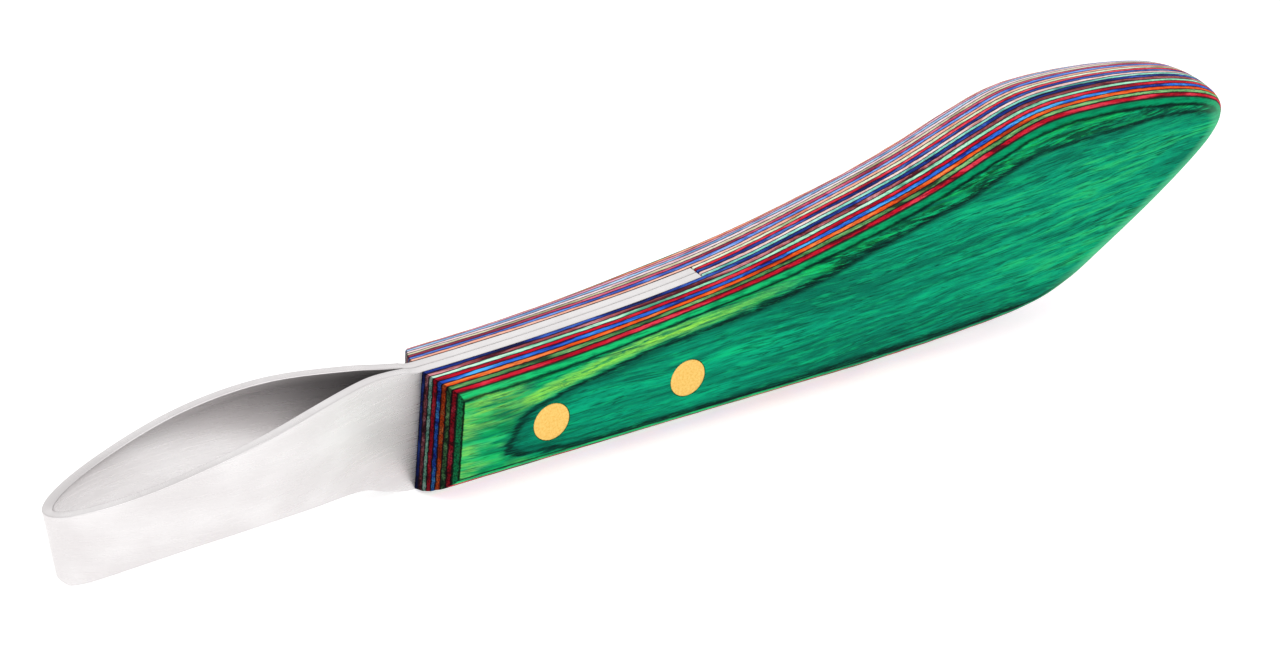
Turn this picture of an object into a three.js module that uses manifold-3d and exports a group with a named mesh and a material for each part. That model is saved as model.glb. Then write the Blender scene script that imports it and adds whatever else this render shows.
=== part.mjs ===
// Loop hoof knife: one strip of stainless steel folded into a leaf-shaped cutting loop. Its two
// ends lie flat together as a double tang, in a slot sawn into a handle of glued dyed veneers,
// and two flush brass pins go through both.
//
// Millimetres. +X runs from the loop to the butt, Z is up, and the veneers are stacked along Y.
// The origin is under the middle of the knife, on the surface that its lower edge stands on.
import * as THREE from 'three';
import { mergeVertices } from 'three/addons/utils/BufferGeometryUtils.js';
import Module from 'manifold-3d';

const wasm = await Module();
wasm.setup();

// ---- Driving dimensions ------------------------------------------------------------------

const OVERALL_LENGTH = 214;
const TIP_X = -OVERALL_LENGTH / 2;
const BUTT_X = OVERALL_LENGTH / 2;

const STRIP_THICKNESS = 1.6;
const TANG_GAP = 0.1;             // between the two flat ends of the folded strip
const TANG_END_X = 3.2;
const LOOP_HALF_WIDTH = 8.35;
const LOOP_WIDEST_X = -81;
const NECK_X = -47;               // where the two ends of the strip come together
const TIP_LEAN = 0.15;            // the fold's lean towards -X for each mm of height
const TIP_LEAN_LEVEL = 13;        // the height at which the fold is at TIP_X

// How far the loop's curve, seen from above, runs on from each of its ends before it turns.
const TIP_PULL = 0.55;            // as a share of the loop's half width
const WIDEST_FRONT_PULL = 12;
const WIDEST_BACK_PULL = 16;
const NECK_PULL = 11;
const LEAF_STEPS = 14;

const OUTER_PLY = 0.75;
const OUTER_PLIES = 9;            // on each side of the slot
const CORE_PLIES = 5;             // behind the tang, as wide as the slot together
const SLOT_WIDTH = 3.4;
const SLOT_END_GAP = 0.3;
const HALF_THICKNESS = SLOT_WIDTH / 2 + OUTER_PLIES * OUTER_PLY;

const TOP_CROWN = 2.7;            // how far the handle's top falls away at its flat sides
const WAIST_X = 2;                // where the top is flattest from side to side
const WAIST_SPREAD = 20;
const WAIST_LIFT = 1.3;           // how much less it falls away there
const TOP_SIDE_LEVEL = 12;        // the handle's top side is all above this, its belly all below
const BELLY_RADIUS = 11;          // of the handle's lower edge, seen from the end
const CROWN_STEPS = 7;
const CROWN_MIDDLE = 0.2;         // the width that keeps the full outline
const FRONT_X = -47.3;
const FRONT_RADIUS = 10.4;        // of the handle's front end, seen from above
const FRONT_LEAN = 0.054;
const FRONT_LEAN_LEVEL = 10;

const PIN_DIAMETER = 6.35;
const PIN_CLEARANCE = 0.15;
const PIN_SIDES = 24;
const PIN_CENTRES = { brass_pin_front: [-27.8, 9.75], brass_pin_rear: [-3.1, 10.5] };

// Solids that only cut reach well past what they cut.
const CUT_MARGIN = 5;
const BELOW_ALL = -5;
const ABOVE_ALL = 50;
const FAR_FRONT_X = -60;          // where the handle's side view starts, before its front is cut

// Seen from the side, as [x, z]: the handle's upper edge from its front to the butt's point,
// then its lower edge from there back to the straight stretch that the knife stands on.
const HANDLE_TOP = [
  [FAR_FRONT_X, 20.4], [-47.5, 20.4], [-38, 20.6], [-24, 21.2], [-6, 22.5], [10, 24.6], [27, 28.5],
  [42, 32.5], [55, 37.1], [64, 39.8], [73, 40.4], [85, 39.7], [96, 37.9], [102.8, 35.4],
  [BUTT_X, 31.4],
];
const HANDLE_BELLY = [
  [BUTT_X, 31.4], [103.1, 25], [93.6, 17.1], [81.4, 8.9], [74.3, 4.7], [66.1, 2], [52, 0.7],
  [32, 0],
];

// Seen from the side, as [x, z]: the loop's upper edge from the handle to the tip, and its
// lower edge from the tip back to the handle.
const LOOP_TOP = [
  [-47.5, 20.6], [-52, 21.3], [-57, 21.8], [-66, 21.6], [-74, 20.6], [-84, 18.7], [-95, 16],
  [TIP_X - 1, 12.9],
];
const LOOP_BOTTOM = [
  [-103.8, 1.2], [-99, 3.1], [-93, 4.7], [-85, 5.9], [-75, 6.2], [-66, 5.3], [-58, 3.8],
  [-53.5, 1.7], [-50, 0.35], [-47.5, 0],
];
const TIP_CORNER_RADIUS = 2;

// Veneer colours from the near side (-Y) to the far side (+Y).
const PLY_COLOURS = [
  ['green', 0x159a6b], ['red', 0xbf3b47], ['olive', 0x668f55], ['orange', 0xe6713d],
  ['blue', 0x4a7cd6], ['scarlet', 0xe03c4e], ['mint', 0xa2dfc2], ['brown', 0xae6c66],
  ['navy', 0x2f4b92], ['turquoise', 0x8cd6c4], ['shell', 0xf0d2ca], ['indigo', 0x46589f],
  ['crimson', 0xe04c5e], ['cream', 0xeaeed2], ['peach', 0xefb59b], ['cornflower', 0x7094de],
  ['wine', 0xaf4b59], ['khaki', 0xcdbf8a], ['blush', 0xf1d2cb], ['sky', 0x86bbd6],
  ['pink', 0xd6808c], ['orange', 0xe6713d], ['green', 0x159a6b],
];
const WOOD_ROUGHNESS = 0.45;

// ---- Helpers -----------------------------------------------------------------------------

function solid(geometry) {
  const bare = geometry.clone();
  bare.deleteAttribute('normal');
  bare.deleteAttribute('uv');
  const merged = mergeVertices(bare, 1e-5);
  const vertProperties = merged.attributes.position.array;
  const triVerts = Uint32Array.from(merged.index.array);
  return new wasm.Manifold(new wasm.Mesh({ numProp: 3, vertProperties, triVerts }));
}

function geometryOf(manifold) {
  const mesh = manifold.getMesh();
  const geometry = new THREE.BufferGeometry();
  geometry.setAttribute('position', new THREE.BufferAttribute(mesh.vertProperties, 3));
  geometry.setIndex(new THREE.BufferAttribute(mesh.triVerts, 1));
  const flat = geometry.toNonIndexed();
  flat.computeVertexNormals();
  return flat;
}

function curveThrough(pairs, samples) {
  const spline = new THREE.SplineCurve(pairs.map(([x, z]) => new THREE.Vector2(x, z)));
  return spline.getSpacedPoints(samples);
}

// A side view, in x and z, made into a shape that reaches the same way along -Y and +Y.
function sideGeometry(shape, halfWidth, bevel) {
  const settings = { depth: 2 * halfWidth, bevelEnabled: false, ...bevel };
  const geometry = new THREE.ExtrudeGeometry(shape, settings);
  geometry.translate(0, 0, -settings.depth / 2);
  geometry.rotateX(Math.PI / 2);
  return geometry;
}

// A plan, in x and y, made into a solid from z = low to z = high. As it rises each point moves
// along X by its lean for each mm, and it keeps its place in the plan at leanLevel.
function planSolid(points, low, high, leanAt, leanLevel) {
  const shape = new THREE.Shape(points);
  const geometry = new THREE.ExtrudeGeometry(shape, { depth: high - low, bevelEnabled: false });
  geometry.translate(0, 0, low);
  const place = geometry.attributes.position;
  for (let i = 0; i < place.count; i += 1) {
    const x = place.getX(i);
    place.setX(i, x + leanAt(x) * (place.getZ(i) - leanLevel));
  }
  return solid(geometry);
}

function boxSolid(low, high) {
  const size = high.map((value, axis) => value - low[axis]);
  const geometry = new THREE.BoxGeometry(...size);
  geometry.translate(low[0] + size[0] / 2, low[1] + size[1] / 2, low[2] + size[2] / 2);
  return solid(geometry);
}

function crossPin([x, z], radius, halfLength) {
  const geometry = new THREE.CylinderGeometry(radius, radius, 2 * halfLength, PIN_SIDES);
  geometry.translate(x, 0, z);
  return geometry;
}

const group = new THREE.Group();

function addPart(name, geometry, color, roughness, metalness) {
  const material = new THREE.MeshStandardMaterial({ color, roughness, metalness });
  const mesh = new THREE.Mesh(geometry, material);
  mesh.name = name;
  group.add(mesh);
}

// ---- Steel loop and tang -----------------------------------------------------------------

// One side of the folded strip seen from above, from the fold at the tip back to the neck.
function leafSide(y) {
  const front = new THREE.CubicBezierCurve(
    new THREE.Vector2(TIP_X, 0),
    new THREE.Vector2(TIP_X, TIP_PULL * y),
    new THREE.Vector2(LOOP_WIDEST_X - WIDEST_FRONT_PULL, y),
    new THREE.Vector2(LOOP_WIDEST_X, y),
  );
  const neckY = Math.sign(y) * (STRIP_THICKNESS + TANG_GAP / 2);
  const back = new THREE.CubicBezierCurve(
    new THREE.Vector2(LOOP_WIDEST_X, y),
    new THREE.Vector2(LOOP_WIDEST_X + WIDEST_BACK_PULL, y),
    new THREE.Vector2(NECK_X - NECK_PULL, neckY),
    new THREE.Vector2(NECK_X, neckY),
  );
  return [...front.getPoints(LEAF_STEPS), ...back.getPoints(LEAF_STEPS).slice(1)];
}

// Moves each point of a side of the strip square to it, towards the inside of the loop.
function insideOf(points, distance) {
  return points.map((point, i) => {
    if (i === 0) return new THREE.Vector2(point.x + distance, 0);
    const before = points[i - 1];
    const after = points[Math.min(i + 1, points.length - 1)];
    const along = after.clone().sub(before).normalize();
    const inward = new THREE.Vector2(-along.y, along.x);
    if (inward.y * point.y > 0) inward.negate();
    return point.clone().addScaledVector(inward, distance);
  });
}

function loopPlan() {
  const near = leafSide(-LOOP_HALF_WIDTH);
  const far = leafSide(LOOP_HALF_WIDTH);
  const nearInside = insideOf(near, STRIP_THICKNESS);
  const farInside = insideOf(far, STRIP_THICKNESS);
  const outerY = STRIP_THICKNESS + TANG_GAP / 2;
  const innerY = TANG_GAP / 2;
  const end = TANG_END_X + CUT_MARGIN;  // past the tang's end, which the side view then cuts
  return [
    new THREE.Vector2(end, -innerY), ...nearInside.slice(1).reverse(),
    ...farInside, new THREE.Vector2(end, innerY),
    new THREE.Vector2(end, outerY), ...far.reverse(),
    ...near.slice(1), new THREE.Vector2(end, -outerY),
  ];
}

function bladeSide() {
  const handleTop = curveThrough(HANDLE_TOP, 60);
  const tangTop = handleTop.filter((p) => p.x > NECK_X && p.x < TANG_END_X).reverse();
  const loopTop = curveThrough(LOOP_TOP, 22);
  const loopBottom = curveThrough(LOOP_BOTTOM, 26);
  const corner = loopBottom[0];
  const tipBottomX = TIP_X + TIP_LEAN * (TIP_LEAN_LEVEL - corner.y);
  const shape = new THREE.Shape([new THREE.Vector2(TANG_END_X, 0)]);
  shape.lineTo(TANG_END_X, tangTop[0].y);
  for (const point of [...tangTop, ...loopTop]) shape.lineTo(point.x, point.y);
  shape.lineTo(TIP_X - 1, corner.y + TIP_CORNER_RADIUS);
  shape.lineTo(tipBottomX, corner.y + TIP_CORNER_RADIUS);
  shape.quadraticCurveTo(tipBottomX + 0.3, corner.y, corner.x, corner.y);
  for (const point of loopBottom.slice(1)) shape.lineTo(point.x, point.y);
  return shape;
}

const pinHoles = Object.values(PIN_CENTRES)
  .map((centre) => solid(crossPin(centre, PIN_DIAMETER / 2 + PIN_CLEARANCE, 2 * HALF_THICKNESS)))
  .reduce((all, hole) => all.add(hole));

const loopLean = (x) => (-TIP_LEAN * Math.max(0, NECK_X - x)) / (NECK_X - TIP_X);
const blade = planSolid(loopPlan(), BELOW_ALL, ABOVE_ALL, loopLean, TIP_LEAN_LEVEL)
  .intersect(solid(sideGeometry(bladeSide(), 2 * LOOP_HALF_WIDTH)))
  .subtract(pinHoles);
addPart('loop_blade', geometryOf(blade), 0xd6d4d4, 0.3, 1);

// ---- Brass pins --------------------------------------------------------------------------

for (const [name, centre] of Object.entries(PIN_CENTRES)) {
  addPart(name, crossPin(centre, PIN_DIAMETER / 2, HALF_THICKNESS), 0xe9bd64, 0.35, 1);
}

// ---- Handle of dyed veneers --------------------------------------------------------------

// An elliptical edge that starts at the middle plane, where it takes nothing off the outline.
function crowned(halfWidth, drop, segments) {
  return {
    depth: CROWN_MIDDLE,
    bevelEnabled: true,
    bevelThickness: halfWidth - CROWN_MIDDLE / 2,
    bevelSize: drop,
    bevelOffset: -drop,
    bevelSegments: segments,
  };
}

// Raises the sides of the crowned top round the waist, so that it is flatter there.
function flattenWaist(geometry) {
  const place = geometry.attributes.position;
  for (let i = 0; i < place.count; i += 1) {
    const reach = Math.min(Math.abs(place.getY(i)) / HALF_THICKNESS, 1);
    const fallen = 1 - Math.sqrt(1 - reach * reach);
    const lift = WAIST_LIFT * Math.exp(-(((place.getX(i) - WAIST_X) / WAIST_SPREAD) ** 2));
    if (place.getZ(i) > TOP_SIDE_LEVEL) place.setZ(i, place.getZ(i) + lift * fallen);
  }
}

// The whole handle as one block: its side view with a crowned top and a rounder lower edge,
// cut to the rounded front.
function handleBlock() {
  const top = curveThrough(HANDLE_TOP, 26);
  const belly = curveThrough(HANDLE_BELLY, 15).slice(1);
  const front = new THREE.Vector2(FAR_FRONT_X, 0);
  const outline = new THREE.Shape([...top, ...belly, front]);
  const roomAbove = [
    new THREE.Vector2(FAR_FRONT_X, 60),
    new THREE.Vector2(BUTT_X + 30, 60),
    new THREE.Vector2(BUTT_X + 13, 38),
  ];
  const bellyOutline = new THREE.Shape([...roomAbove, ...belly, front]);
  const plan = [];
  const reach = HALF_THICKNESS + 1;
  for (let step = -5; step <= 5; step += 1) {
    const y = (reach * step) / 5;
    plan.push(new THREE.Vector2(FRONT_X + (y * y) / (2 * FRONT_RADIUS), y));
  }
  const back = BUTT_X + CUT_MARGIN;
  plan.push(new THREE.Vector2(back, reach), new THREE.Vector2(back, -reach));
  const topSide = sideGeometry(outline, 0, crowned(HALF_THICKNESS, TOP_CROWN, CROWN_STEPS));
  flattenWaist(topSide);
  const bellyCrown = crowned(BELLY_RADIUS, BELLY_RADIUS, CROWN_STEPS + 3);
  return solid(topSide)
    .intersect(solid(sideGeometry(bellyOutline, 0, bellyCrown)))
    .intersect(planSolid(plan, BELOW_ALL, ABOVE_ALL, () => FRONT_LEAN, FRONT_LEAN_LEVEL));
}

const block = handleBlock().subtract(pinHoles);
const corePly = SLOT_WIDTH / CORE_PLIES;
let y = -HALF_THICKNESS;
PLY_COLOURS.forEach(([colourName, colour], index) => {
  const isCore = index >= OUTER_PLIES && index < OUTER_PLIES + CORE_PLIES;
  const nextY = y + (isCore ? corePly : OUTER_PLY);
  const startX = isCore ? TANG_END_X + SLOT_END_GAP : TIP_X;
  const slab = boxSolid([startX, y, BELOW_ALL], [BUTT_X + CUT_MARGIN, nextY, ABOVE_ALL]);
  const number = String(index + 1).padStart(2, '0');
  addPart(`veneer_${number}_${colourName}`, geometryOf(block.intersect(slab)), colour, WOOD_ROUGHNESS, 0);
  y = nextY;
});

export default group;
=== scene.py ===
"""Loop hoof knife: the finished meshes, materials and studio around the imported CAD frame.

Shapes are worked out in millimetres and written to the meshes in metres. +X runs from the
loop to the butt, the veneers are stacked along Y, and Z is up from the knife's lower edge.
"""

import math

import bmesh
import bpy
import numpy as np
from mathutils import Matrix, Vector
from mathutils.geometry import delaunay_2d_cdt

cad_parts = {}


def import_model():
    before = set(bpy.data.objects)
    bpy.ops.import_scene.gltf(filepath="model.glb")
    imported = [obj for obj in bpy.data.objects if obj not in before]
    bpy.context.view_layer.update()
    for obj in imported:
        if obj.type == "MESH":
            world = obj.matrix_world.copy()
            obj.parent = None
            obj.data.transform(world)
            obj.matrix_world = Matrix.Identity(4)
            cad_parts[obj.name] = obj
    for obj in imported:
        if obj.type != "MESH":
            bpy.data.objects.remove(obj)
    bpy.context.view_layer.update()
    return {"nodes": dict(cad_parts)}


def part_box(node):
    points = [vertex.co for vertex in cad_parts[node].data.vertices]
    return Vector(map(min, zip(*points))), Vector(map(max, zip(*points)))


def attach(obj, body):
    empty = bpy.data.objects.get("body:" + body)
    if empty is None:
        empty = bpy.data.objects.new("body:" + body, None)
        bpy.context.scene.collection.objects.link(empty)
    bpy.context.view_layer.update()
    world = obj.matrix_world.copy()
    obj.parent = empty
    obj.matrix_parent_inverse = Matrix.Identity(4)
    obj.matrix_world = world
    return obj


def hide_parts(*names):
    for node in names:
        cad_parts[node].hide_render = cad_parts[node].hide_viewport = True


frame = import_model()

MM = 0.001


def node_box(node):
    """A CAD node's low and high corners, in millimetres."""
    low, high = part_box(node)
    return np.array(low) / MM, np.array(high) / MM


# ---- Driving dimensions -------------------------------------------------------------------

PLY_NODES = sorted(n for n in frame["nodes"] if n.startswith("veneer_"))
PLY_BOXES = [node_box(n) for n in PLY_NODES]
PLY_EDGES = [low[1] for low, high in PLY_BOXES] + [PLY_BOXES[-1][1][1]]
LAST_PLY = len(PLY_NODES) - 1
OUTER_PLIES = (0, LAST_PLY)
HALF_THICKNESS = PLY_EDGES[-1]
CORE_STEP = 20                    # the core plies start at least this far behind the others
CORE = [i for i, (low, high) in enumerate(PLY_BOXES) if low[0] > PLY_BOXES[0][0][0] + CORE_STEP]
SLOT_END_X = PLY_BOXES[CORE[0]][0][0]

TIP_X = -107
BUTT_X = 107
TANG_END_X = node_box("loop_blade")[1][0]
LOOP_HALF_WIDTH = 8.35
LOOP_WIDEST_X = -81
TIP_PULL = 0.55                   # the fold's roundness, as a share of the half width
WIDEST_FRONT_PULL = 12            # the curve's pull on each side of the widest place
WIDEST_BACK_PULL = 16
NECK_PULL = 11
NECK_X = -47
STRIP = 1.6
STRIP_ROWS = 14
FOLD_POINTS, NECK_POINTS, TANG_POINTS = 90, 70, 51
EDGE_POINTS = 5
LOOP_EDGE = 0.2                   # the rounding of the strip's edges, on the loop
TANG_EDGE = 0.13                  # and on the tang
TANG_GAP = 0.1                    # between the two halves of the tang
GAP_START_X = NECK_X - 1
TANG_SINK = 0.03                  # how far the tang's top lies under the handle's
TANG_BLEND = (-49, -47)           # where the loop's top edge passes into the tang's
TIP_LEAN = 0.15
TIP_LEAN_LEVEL = 13
TIP_CORNER = (1.6, 2.4)           # the loop's rounded lower corner, along X and up
TIP_CORNER_LEAD = 0.2
# Painted shade and dark reflection in the throat: at each x, how deep it reaches below the
# strip's top and how strong it is. It starts within the strip's thickness, and just under the rim.
THROAT_DEPTH = [(-107, 1.5), (-90, 3), (-78, 6), (-68, 11), (-60, 20), (-47, 30)]
THROAT_STRENGTH = [(-107, 0.25), (-90, 0.45), (-75, 0.7), (-62, 0.95), (-47, 1)]
THROAT_FULL = 1.15                # over 1, so that it is at its darkest for a way down
THROAT_INWARD = (0.75, 0.95)      # shares of the strip's thickness where it starts and is full
THROAT_RIM = (0.1, 0.3)           # how far under the rim it starts and is full

TOP_CROWN = 2.7
WAIST_X = 2
WAIST_SPREAD = 20
WAIST_LIFT = 1.3
BELLY_RADIUS = 11
FACE_EDGE_ROUND = 0.5
FACE_EDGE_STEPS = 9
FRONT_X = -47.3
FRONT_RADIUS = 10.4
FRONT_LEAN = 0.054
FRONT_LEAN_LEVEL = 10
FRONT_SPAN = (-5, 30)             # the heights between which the front line is drawn
BUTT_TRIM = 2.99                  # how much of each line the butt's rounding takes
CORNER_TRIM = 0.25                # and the rounding of the front's corners

PINS = ["brass_pin_front", "brass_pin_rear"]
PIN_BOXES = [node_box(n) for n in PINS]
PIN_CENTRES = [((low[0] + high[0]) / 2, (low[2] + high[2]) / 2) for low, high in PIN_BOXES]
PIN_RADIUS = (PIN_BOXES[0][1][2] - PIN_BOXES[0][0][2]) / 2
PIN_HOLE_RADIUS = PIN_RADIUS + 0.07
PIN_CROWN = 0.02
PIN_CHAMFER = 0.1
PIN_CHAMFER_BEND = (0.4, 0.3)     # the middle of the broken edge, as shares of the chamfer
PIN_END_RINGS = (0.8, 0.6, 0.4, 0.2)

HANDLE_TOP = [
    (-60, 20.4), (-47.5, 20.4), (-38, 20.6), (-24, 21.2), (-6, 22.5), (10, 24.6), (27, 28.5),
    (42, 32.5), (55, 37.1), (64, 39.8), (73, 40.4), (85, 39.7), (96, 37.9), (102.8, 35.4),
    (BUTT_X, 31.4),
]
HANDLE_BELLY = [
    (BUTT_X, 31.4), (103.1, 25), (93.6, 17.1), (81.4, 8.9), (74.3, 4.7), (66.1, 2), (52, 0.7),
    (32, 0),
]
LOOP_TOP = [
    (-47.5, 20.6), (-52, 21.3), (-57, 21.8), (-66, 21.6), (-74, 20.6), (-84, 18.7), (-95, 16),
    (TIP_X - 1, 12.9),
]
LOOP_BOTTOM = [
    (-103.8, 1.2), (-99, 3.1), (-93, 4.7), (-85, 5.9), (-75, 6.2), (-66, 5.3), (-58, 3.8),
    (-53.5, 1.7), (-50, 0.35), (-47.5, 0),
]


# ---- Curves -------------------------------------------------------------------------------


SPLINE_STEPS = 16
PARALLEL = 1e-12
SLACK = 1e-9


def spline(points):
    """A smooth curve through the points, with the same uniform spline as the CAD model."""
    p = np.array(points, float)
    ends = np.vstack([p[:1], p, p[-1:]])
    t = np.linspace(0, 1, SPLINE_STEPS, endpoint=False)[:, None]
    out = []
    for i in range(len(p) - 1):
        a, b, c, d = ends[i], ends[i + 1], ends[i + 2], ends[i + 3]
        v0, v1 = (c - a) / 2, (d - b) / 2
        cubic = 2 * b - 2 * c + v0 + v1
        square = -3 * b + 3 * c - 2 * v0 - v1
        out.append(cubic * t**3 + square * t**2 + v0 * t + b)
    return np.vstack(out + [p[-1:]])


def arc_lengths(line):
    steps = np.linalg.norm(np.diff(line, axis=0), axis=1)
    return np.concatenate([[0], np.cumsum(steps)])


def piece_of(line, start, end, count):
    """Evenly spaced points between two distances along a line."""
    s = arc_lengths(line)
    at = np.linspace(start, end, count)
    return np.column_stack([np.interp(at, s, line[:, 0]), np.interp(at, s, line[:, 1])])


def point_on(line, distance):
    return piece_of(line, distance, distance, 1)[0]


def offset(line, distance):
    """A line moved to its right-hand side by a distance."""
    along = np.gradient(line, axis=0)
    along /= np.linalg.norm(along, axis=1)[:, None]
    return line + distance * np.column_stack([along[:, 1], -along[:, 0]])


def crossing(first, second):
    """How far along each of two lines they cross, nearest to the end of the first."""
    s1, s2 = arc_lengths(first), arc_lengths(second)
    for i in range(len(first) - 2, -1, -1):
        p, r = first[i], first[i + 1] - first[i]
        for j in range(len(second) - 1):
            q, s = second[j], second[j + 1] - second[j]
            cross = r[0] * s[1] - r[1] * s[0]
            if abs(cross) < PARALLEL:
                continue
            t = ((q - p)[0] * s[1] - (q - p)[1] * s[0]) / cross
            u = ((q - p)[0] * r[1] - (q - p)[1] * r[0]) / cross
            if -SLACK <= t <= 1 and -SLACK <= u <= 1:
                return s1[i] + t * np.linalg.norm(r), s2[j] + u * np.linalg.norm(s)
    raise ValueError("the two lines don't cross")


def bend(start, corner, end, count):
    """The points strictly between the ends of a quadratic curve."""
    t = np.linspace(0, 1, count + 2)[1:-1, None]
    return (1 - t) ** 2 * start + 2 * t * (1 - t) * corner + t**2 * end


# ---- Handle outline at any distance from the middle plane ----------------------------------

TOP_LINE = spline(HANDLE_TOP)
BELLY_LINE = np.vstack([spline(HANDLE_BELLY), [[-60, 0]]])
OUTLINE_COUNTS = {"top": 240, "butt": 12, "belly": 210, "corner": 3, "front": 80}
TOP_START = 80                    # enough points of the top line to cross the front
BELLY_START = 60                  # enough points of the belly line to cross the top


def outline(y, front=None, extra=0.0):
    """The handle's outline, in x and z, at the distance y from its middle plane.

    It runs from the top of the front along the top, round the butt and back along the belly,
    then up the front. front is a fixed x, or None for the arched front end, and extra is a
    further inset all round.
    """
    reach = min(abs(y) / HALF_THICKNESS, 1)
    crown = TOP_CROWN - WAIST_LIFT * np.exp(-(((TOP_LINE[:, 0] - WAIST_X) / WAIST_SPREAD) ** 2))
    top_drop = crown[:, None] * (1 - math.sqrt(1 - reach**2)) + extra
    off_middle = min(abs(y), HALF_THICKNESS)
    belly_drop = BELLY_RADIUS - math.sqrt(BELLY_RADIUS**2 - off_middle**2) + extra
    top = offset(TOP_LINE, top_drop)
    belly = offset(BELLY_LINE, belly_drop)
    if front is None:
        foot = FRONT_X + y * y / (2 * FRONT_RADIUS) + extra
        lean = FRONT_LEAN
    else:
        foot = front
        lean = 0
    front_line = np.array([[foot + lean * (z - FRONT_LEAN_LEVEL), z] for z in FRONT_SPAN])
    top_front = crossing(top[:TOP_START], front_line)
    top_butt, belly_butt = crossing(top, belly[:BELLY_START])
    belly_front = crossing(belly, front_line)
    counts = OUTLINE_COUNTS
    along_top = piece_of(top, top_front[0] + CORNER_TRIM, top_butt - BUTT_TRIM, counts["top"])
    along_belly = piece_of(
        belly, belly_butt + BUTT_TRIM, belly_front[0] - CORNER_TRIM, counts["belly"])
    up_front = piece_of(
        front_line, belly_front[1] + CORNER_TRIM, top_front[1] - CORNER_TRIM, counts["front"])
    butt_corner = point_on(top, top_butt)
    low_corner = point_on(front_line, belly_front[1])
    high_corner = point_on(front_line, top_front[1])
    return np.vstack([
        along_top,
        bend(along_top[-1], butt_corner, along_belly[0], counts["butt"]),
        along_belly,
        bend(along_belly[-1], low_corner, up_front[0], counts["corner"]),
        up_front,
        bend(up_front[-1], high_corner, along_top[0], counts["corner"]),
    ])


WAVE_SEED = 100
SAW_END_X = -40                   # ahead of this the front end's glue lines turn ragged
SAW_FADE = 4


def glue_wave(index, line):
    """How far a glue line strays along Y at each point of an outline, as a sum of sine waves."""
    x, z = line[:, 0], line[:, 1]
    rng = np.random.default_rng(WAVE_SEED + index)
    phase = rng.uniform(0, 2 * math.pi, 8)
    slow = 0.050 * np.sin(0.09 * x + phase[0]) + 0.035 * np.sin(0.31 * x + 0.4 * z + phase[1])
    quick = 0.020 * np.sin(1.1 * x + phase[2]) + 0.030 * np.sin(0.8 * z + phase[3])
    saw = 0.055 * np.sin(2.9 * z + phase[4]) + 0.045 * np.sin(6.1 * z + phase[5])
    near_front = np.clip((SAW_END_X - x) / SAW_FADE, 0, 1)
    slow += 0.05 * (2 * rng.random() - 1)
    return slow + quick + saw * near_front


# ---- Mesh helpers -------------------------------------------------------------------------


SHARP_ANGLE = math.radians(38)
WELD = 1e-6


def make_object(name, vertices, faces, attributes=None):
    mesh = bpy.data.meshes.new(name)
    mesh.from_pydata([tuple(v) for v in np.asarray(vertices) * MM], [], [tuple(f) for f in faces])
    for key, values in (attributes or {}).items():
        layer = mesh.attributes.new(key, "FLOAT", "POINT")
        layer.data.foreach_set("value", np.asarray(values, np.float32))
    bm = bmesh.new()
    bm.from_mesh(mesh)
    bmesh.ops.recalc_face_normals(bm, faces=bm.faces)
    bm.to_mesh(mesh)
    bm.free()
    mesh.shade_smooth()
    mesh.set_sharp_from_angle(angle=SHARP_ANGLE)
    obj = bpy.data.objects.new(name, mesh)
    bpy.context.scene.collection.objects.link(obj)
    return obj


def ring_faces(first, second, count):
    """Quads between two closed rings, given the index of each ring's first vertex."""
    for i in range(count):
        j = (i + 1) % count
        yield (first + i, first + j, second + j, second + i)


def filled(ring, holes, inner):
    """Triangles that fill an outline round its holes, as indices into all of the points given.

    A triangle with all three corners on one hole lies inside that hole, so it is dropped.
    """
    points = np.vstack([ring] + holes + [inner])
    edges = []
    owner = np.full(len(points), -1)
    start = 0
    for number, loop in enumerate([ring] + holes):
        edges += [(start + i, start + (i + 1) % len(loop)) for i in range(len(loop))]
        owner[start:start + len(loop)] = number
        start += len(loop)
    made = delaunay_2d_cdt([Vector(p) for p in points], edges, [], 1, WELD)
    back = [origin[0] for origin in made[3]]
    triangles = [[back[v] for v in face] for face in made[2]]
    return [t for t in triangles if len(set(owner[t])) > 1 or owner[t[0]] < 1]


HOLE_SIDES = 72


def hole_loops(low_x):
    """The outlines of the pin holes behind an x."""
    angles = np.linspace(0, 2 * math.pi, HOLE_SIDES, endpoint=False)
    circle = PIN_HOLE_RADIUS * np.column_stack([np.cos(angles), np.sin(angles)])
    return [np.array(c) + circle for c in PIN_CENTRES if c[0] > low_x]


# ---- Veneers ------------------------------------------------------------------------------


FACE_INSETS = (0.35, 1.0)
GRID_SPACING = 1.2
GRID_MARGIN = 0.7
ROW_STEP = 0.87                   # a grid row's height over the spacing of its points

# The shore between the dark heart of the outer ply and its pale outer zone, as (x, z): above
# the heart from its front to the butt, below it, and the slanted line in front of it.
HEART_TOP = [
    (-40, 12.4), (-33, 13), (-27, 14.1), (-20, 15.4), (-15, 16.4), (-10, 17.3), (-4, 17.9),
    (3, 18.6), (10, 19.6), (20, 21.3), (30, 23.7), (40, 26.3), (50, 28.9), (60, 32.6),
    (67, 33.8), (80, 34.2), (90, 34.3), (100, 32.8),
]
HEART_LOW = [
    (-40, 6.2), (-34, 5.8), (-28, 5.2), (-15, 4.6), (30, 4.6), (50, 5.1), (62, 5.9), (70, 4.6),
]
HEART_FRONT = [(-36, 6), (-33, 12)]
HEART_REACH = (3.4, 3.4, 6.5)       # from the shore to the middle of the outer zone and beyond
HEART_SOFTNESS = 0.22               # rounds the corners where the shore's lines meet
HEART_SHORE = 1.03
HEART_LIMITS = (-3, 6)


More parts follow.
